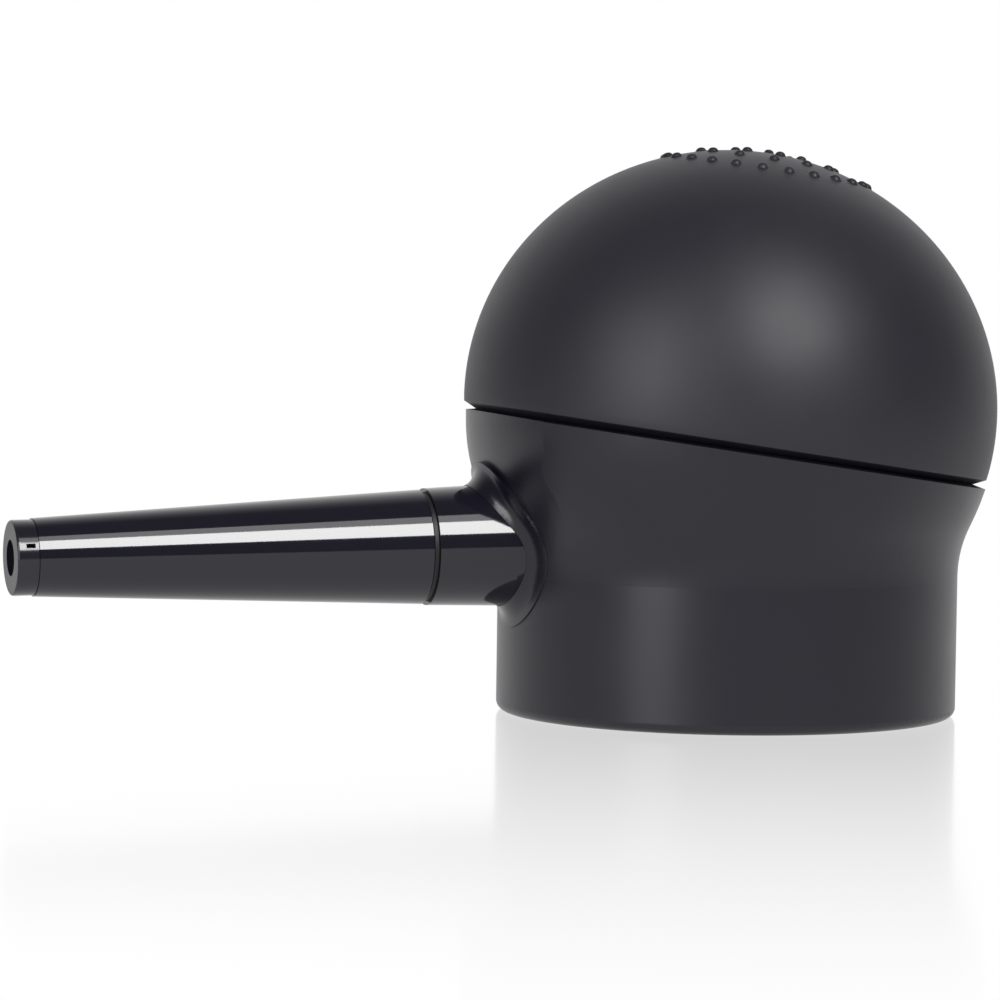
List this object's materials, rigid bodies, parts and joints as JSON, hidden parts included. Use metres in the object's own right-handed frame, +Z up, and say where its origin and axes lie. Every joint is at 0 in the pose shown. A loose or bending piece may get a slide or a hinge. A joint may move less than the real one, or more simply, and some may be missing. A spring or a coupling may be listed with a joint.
{
  "type": "squeeze-bulb powder blower head",
  "caption": "Rubber squeeze bulb on a tilted rim over a round push-on bottle base, blowing powder from the bottle out of a long tapered nozzle.",
  "frame": {"origin": "centre of the bottle socket's mouth, in the plane of the base that the blower stands on", "axes": "+Z up along the bottle's axis; the nozzle points along -X, falling 1 degree towards its tip; the part is the same on both sides of Y = 0"},
  "size_m": [0.1215, 0.0648, 0.0689],
  "materials": {
    "soft_touch_shell": "matte",
    "gloss_nozzle": "gloss",
    "satin_tip": "satin",
    "bulb_rubber": "matte",
    "black_plastic": "gloss",
    "inner_plastic": "satin",
    "soft_seal": "matte",
    "valve_rubber": "matte"
  },
  "bodies": {
    "blower_body": {"body_shell": "soft_touch_shell", "nozzle_root": "gloss_nozzle", "neck_sleeve": "inner_plastic", "bottle_gasket": "soft_seal", "feed_plate": "inner_plastic", "conveying_elbow": "inner_plastic", "elbow_seal_ring": "soft_seal", "valve_deck": "inner_plastic", "deck_seal": "soft_seal", "delivery_valve_cage": "inner_plastic", "intake_valve_cage": "inner_plastic", "air_tube": "inner_plastic", "bulb_wall": "bulb_rubber", "bulb_clamp_ring": "black_plastic"},
    "crown": {"bulb_crown": "bulb_rubber"},
    "nozzle_seal": {"nozzle_seal_washer": "soft_seal"},
    "nozzle": {"nozzle_barrel": "gloss_nozzle", "nozzle_tip": "satin_tip"},
    "delivery_disc": {"delivery_valve_disc": "valve_rubber"},
    "intake_disc": {"intake_valve_disc": "valve_rubber"}
  },
  "joints": [
    {"name": "bulb_squeeze", "type": "slide", "parent": "blower_body", "child": "crown", "axis": [-0.1444, 0, -0.9895], "range_m": [0, 0.012], "stiffness_N_per_m": 1500, "deforming": ["bulb_wall"]},
    {"name": "nozzle_pull", "type": "slide", "parent": "blower_body", "child": "nozzle_seal", "axis": [-0.9998, 0, -0.0175], "range_m": [0, 0.012]},
    {"name": "nozzle_twist", "type": "hinge", "parent": "nozzle_seal", "child": "nozzle", "pos_m": [-0.03399, 0, 0.02061], "axis": [-0.9998, 0, -0.0175], "continuous": true},
    {"name": "delivery_valve_lift", "type": "slide", "parent": "blower_body", "child": "delivery_disc", "axis": [0.1444, 0, 0.9895], "range_m": [0, 0.0009]},
    {"name": "intake_valve_lift", "type": "slide", "parent": "blower_body", "child": "intake_disc", "axis": [0.1444, 0, 0.9895], "range_m": [0, 0.0009]}
  ]
}
